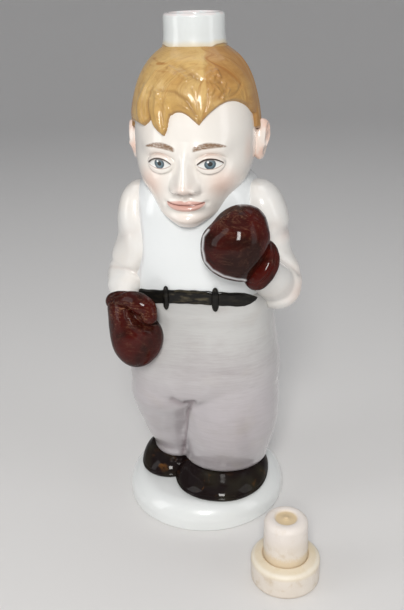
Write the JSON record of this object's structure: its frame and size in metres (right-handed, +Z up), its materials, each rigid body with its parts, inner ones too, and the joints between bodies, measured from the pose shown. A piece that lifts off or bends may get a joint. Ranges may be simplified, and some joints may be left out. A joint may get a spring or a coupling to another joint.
{
  "type": "figural decanter",
  "caption": "Hollow glazed porcelain decanter in the form of a standing boxer on a round plinth, with a pouring neck in the crown and a push-in stopper standing beside it.",
  "frame": {"origin": "centre of the foot ring on the table", "axes": "+Z up along the pouring neck, the figure faces -Y and its left side is +X"},
  "size_m": [0.1163, 0.133, 0.265],
  "materials": {
    "white_glaze": "gloss",
    "skin_glaze": "gloss",
    "hair_glaze": "gloss",
    "trouser_glaze": "gloss",
    "glove_glaze": "gloss",
    "black_glaze": "gloss",
    "cap_plastic": "matte, aged",
    "plug_plastic": "matte, stained"
  },
  "bodies": {
    "decanter": {"plinth": "white_glaze", "left_shoe": "black_glaze", "right_shoe": "black_glaze", "trousers": "trouser_glaze", "torso": "white_glaze", "belt": "black_glaze", "left_belt_loop": "black_glaze", "right_belt_loop": "black_glaze", "head": "skin_glaze", "hair": "hair_glaze", "left_ear": "skin_glaze", "right_ear": "skin_glaze", "left_arm": "skin_glaze", "right_arm": "skin_glaze", "left_glove": "glove_glaze", "right_glove": "glove_glaze", "left_glove_cuff": "glove_glaze", "right_glove_cuff": "glove_glaze", "right_glove_thumb": "glove_glaze", "pouring_neck": "white_glaze"},
    "stopper": {"stopper_cap": "cap_plastic", "stopper_plug": "plug_plastic"}
  },
  "joints": [
    {"name": "stopper_lift", "type": "slide", "parent": "decanter", "child": "stopper", "axis": [0, 0, 1], "range_m": [0, 0.27]}
  ]
}
